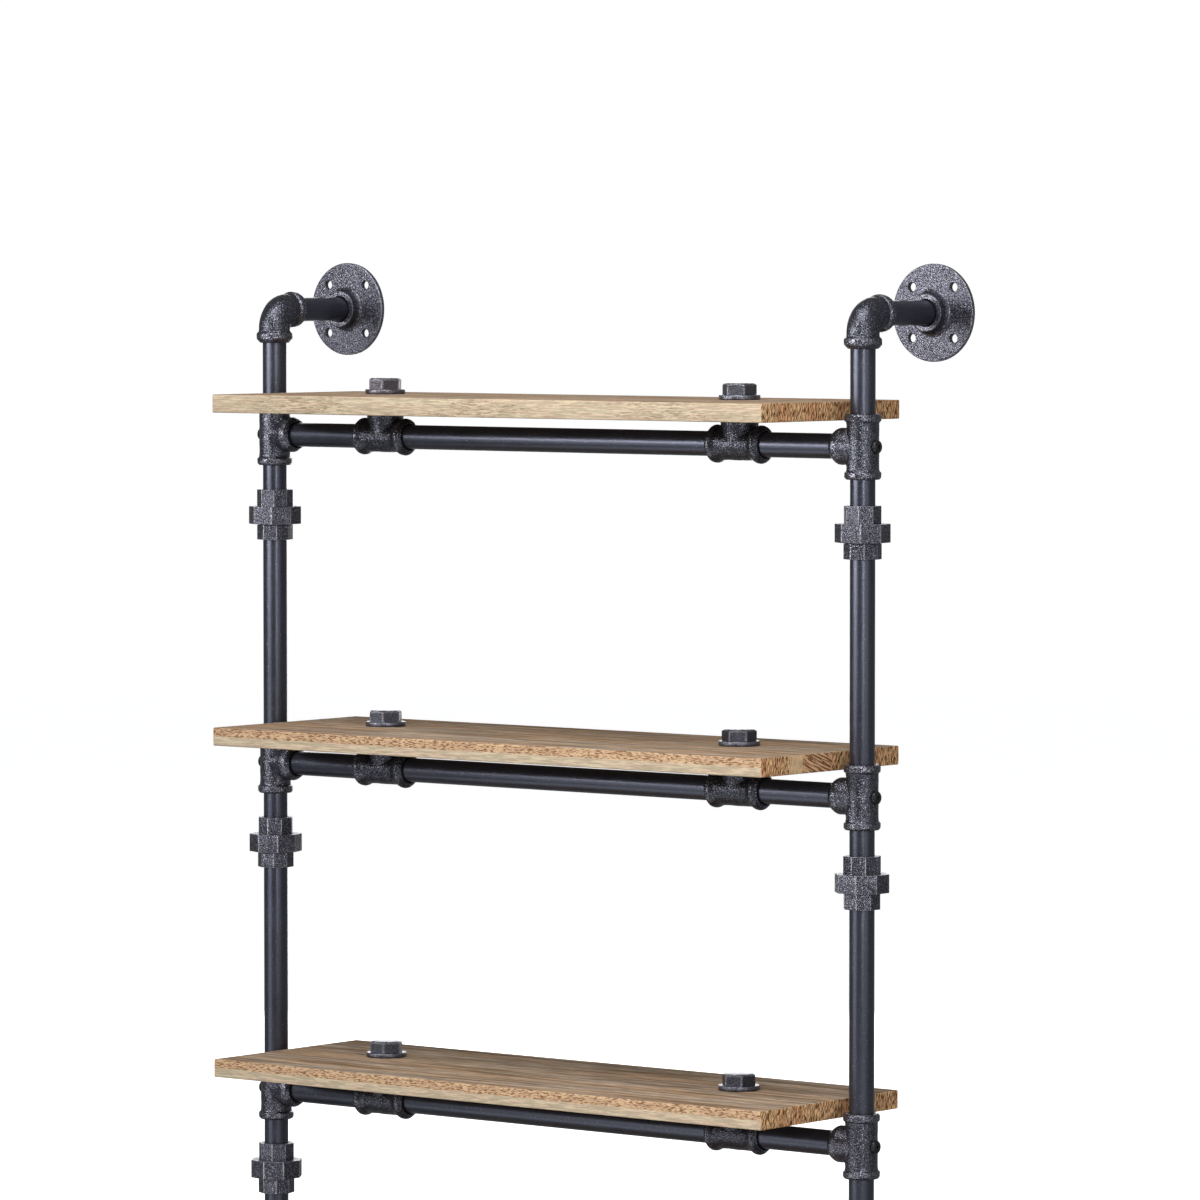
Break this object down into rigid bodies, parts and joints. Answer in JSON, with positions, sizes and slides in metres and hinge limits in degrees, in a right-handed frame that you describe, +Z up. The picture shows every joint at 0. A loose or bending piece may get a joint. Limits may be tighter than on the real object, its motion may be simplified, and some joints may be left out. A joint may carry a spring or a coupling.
{
  "type": "bookcase",
  "caption": "Wall-backed bookcase of pipe posts, cast tees, unions and elbows, with wooden boards held on crossbars by hex plugs; stands on floor flanges and screws to a wall.",
  "frame": {"origin": "on the floor, midway between the posts and midway between the boards' front edge and the wall", "axes": "+Z up, +X to the right as seen from the room, +Y back to the wall"},
  "size_m": [0.735, 0.212, 1.2315],
  "materials": {
    "pipe": "charcoal paint, satin, smooth",
    "cast_iron": "dark sand-cast surface, fine pits, coppery rub-through on the bands",
    "plug_iron": "dark cast surface with brighter edges",
    "oak": "light oak, open grain, matt varnish"
  },
  "bodies": {
    "root": {"crossbar_1": "pipe", "shelf_board_1": "oak", "post_tee_left_1": "cast_iron", "shelf_tee_left_1": "cast_iron", "shelf_plug_left_1": "plug_iron", "post_tee_right_1": "cast_iron", "shelf_tee_right_1": "cast_iron", "shelf_plug_right_1": "plug_iron", "crossbar_2": "pipe", "shelf_board_2": "oak", "post_tee_left_2": "cast_iron", "shelf_tee_left_2": "cast_iron", "shelf_plug_left_2": "plug_iron", "post_tee_right_2": "cast_iron", "shelf_tee_right_2": "cast_iron", "shelf_plug_right_2": "plug_iron", "crossbar_3": "pipe", "shelf_board_3": "oak", "post_tee_left_3": "cast_iron", "shelf_tee_left_3": "cast_iron", "shelf_plug_left_3": "plug_iron", "post_tee_right_3": "cast_iron", "shelf_tee_right_3": "cast_iron", "shelf_plug_right_3": "plug_iron", "crossbar_4": "pipe", "shelf_board_4": "oak", "post_tee_left_4": "cast_iron", "shelf_tee_left_4": "cast_iron", "shelf_plug_left_4": "plug_iron", "post_tee_right_4": "cast_iron", "shelf_tee_right_4": "cast_iron", "shelf_plug_right_4": "plug_iron", "union_left_1": "cast_iron", "post_nipple_left_1": "pipe", "post_pipe_left_1": "pipe", "union_left_2": "cast_iron", "post_nipple_left_2": "pipe", "post_pipe_left_2": "pipe", "union_left_3": "cast_iron", "post_nipple_left_3": "pipe", "post_pipe_left_3": "pipe", "top_pipe_left": "pipe", "elbow_left": "cast_iron", "wall_arm_left": "pipe", "wall_flange_left": "cast_iron", "leg_left": "pipe", "union_right_1": "cast_iron", "post_nipple_right_1": "pipe", "post_pipe_right_1": "pipe", "union_right_2": "cast_iron", "post_nipple_right_2": "pipe", "post_pipe_right_2": "pipe", "union_right_3": "cast_iron", "post_nipple_right_3": "pipe", "post_pipe_right_3": "pipe", "top_pipe_right": "pipe", "elbow_right": "cast_iron", "wall_arm_right": "pipe", "wall_flange_right": "cast_iron", "leg_right": "pipe"}
  },
  "joints": []
}
